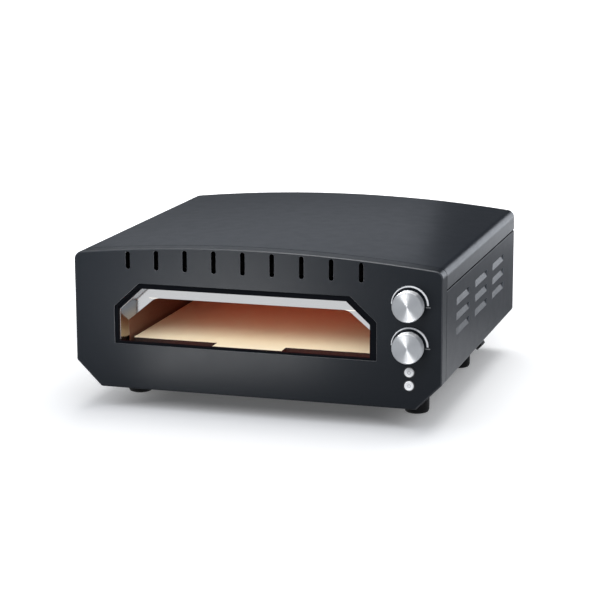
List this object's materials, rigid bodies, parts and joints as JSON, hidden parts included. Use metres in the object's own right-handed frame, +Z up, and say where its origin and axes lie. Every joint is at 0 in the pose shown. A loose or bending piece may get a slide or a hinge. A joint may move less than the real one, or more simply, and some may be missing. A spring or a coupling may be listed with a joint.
{
  "type": "electric pizza oven",
  "caption": "Low countertop oven with an arched steel cabinet, an open letterbox mouth, a loose pizza stone, turning dials and push buttons beside the mouth, and rubber feet.",
  "frame": {"origin": "on the floor, under the middle of the overall width and length", "axes": "+Z up, the front with the mouth faces -Y, +X is the side with the dials"},
  "size_m": [0.45, 0.449, 0.2013],
  "materials": {
    "panel_coat": "matte",
    "case_coat": "matte",
    "base_coat": "matte",
    "print": "matte",
    "frame_black": "satin",
    "polished_steel": "polished",
    "liner_steel": "satin",
    "heater_hot": "satin",
    "plated_steel": "satin",
    "black_steel": "satin",
    "foot_rubber": "matte",
    "black_plastic": "matte",
    "ceramic": "satin",
    "blanket": "matte",
    "copper": "satin",
    "brass": "satin",
    "wire": "satin",
    "bezel_grey": "satin",
    "dial_metal": "spun",
    "button_white": "satin",
    "stone_cream": "matte"
  },
  "bodies": {
    "cabinet": {"front_panel": "panel_coat", "scale_arcs": "print", "mouth_frame": "frame_black", "frame_rivets": "plated_steel", "mouth_tunnel": "polished_steel", "front_baffle": "polished_steel", "top_cover": "case_coat", "side_panel_left": "case_coat", "side_panel_right": "case_coat", "rear_panel": "case_coat", "base_plate": "base_coat", "rear_screws": "black_steel", "feet": "foot_rubber", "foot_screws": "plated_steel", "bumper_left": "foot_rubber", "bumper_right": "foot_rubber", "cavity_side_left": "liner_steel", "cavity_side_right": "liner_steel", "cavity_rear": "liner_steel", "upper_reflector": "liner_steel", "lower_reflector": "liner_steel", "stone_rail_left": "liner_steel", "stone_rail_right": "liner_steel", "insulation_wrap": "blanket", "insulation_rear": "blanket", "heat_shield": "liner_steel", "upper_heater": "heater_hot", "lower_heater": "heater_hot", "heater_hangers": "liner_steel", "heater_stands": "liner_steel", "heater_bushings": "ceramic", "heater_terminals": "ceramic", "thermostat_upper": "ceramic", "thermostat_lower": "ceramic", "thermostat_nuts": "plated_steel", "sensor_upper": "copper", "sensor_lower": "copper", "switch_upper": "black_plastic", "switch_lower": "black_plastic", "button_bezels": "bezel_grey", "thermal_cutout": "black_plastic", "terminal_block": "ceramic", "wiring_harness": "wire", "cord_gland": "black_plastic", "gland_nut": "black_plastic", "earth_stud": "brass"},
    "dial_upper": {"shaft_upper": "plated_steel", "dial_core_upper": "black_plastic", "dial_cap_upper": "dial_metal"},
    "dial_lower": {"shaft_lower": "plated_steel", "dial_core_lower": "black_plastic", "dial_cap_lower": "dial_metal"},
    "button_upper_body": {"button_upper": "button_white"},
    "button_lower_body": {"button_lower": "button_white"},
    "stone": {"pizza_stone": "stone_cream"}
  },
  "joints": [
    {"name": "upper_dial_turn", "type": "hinge", "parent": "cabinet", "child": "dial_upper", "pos_m": [0.1867, -0.2145, 0.1484], "axis": [0, 1, 0], "range_deg": [0, 180]},
    {"name": "lower_dial_turn", "type": "hinge", "parent": "cabinet", "child": "dial_lower", "pos_m": [0.1867, -0.2145, 0.1], "axis": [0, 1, 0], "range_deg": [0, 180]},
    {"name": "upper_button_press", "type": "slide", "parent": "cabinet", "child": "button_upper_body", "axis": [0, 1, 0], "range_m": [0, 0.0015], "stiffness_N_per_m": 300},
    {"name": "lower_button_press", "type": "slide", "parent": "cabinet", "child": "button_lower_body", "axis": [0, 1, 0], "range_m": [0, 0.0015], "stiffness_N_per_m": 300},
    {"name": "stone_lift", "type": "slide", "parent": "cabinet", "child": "stone", "axis": [0, 0, 1], "range_m": [0, 0.04]}
  ]
}
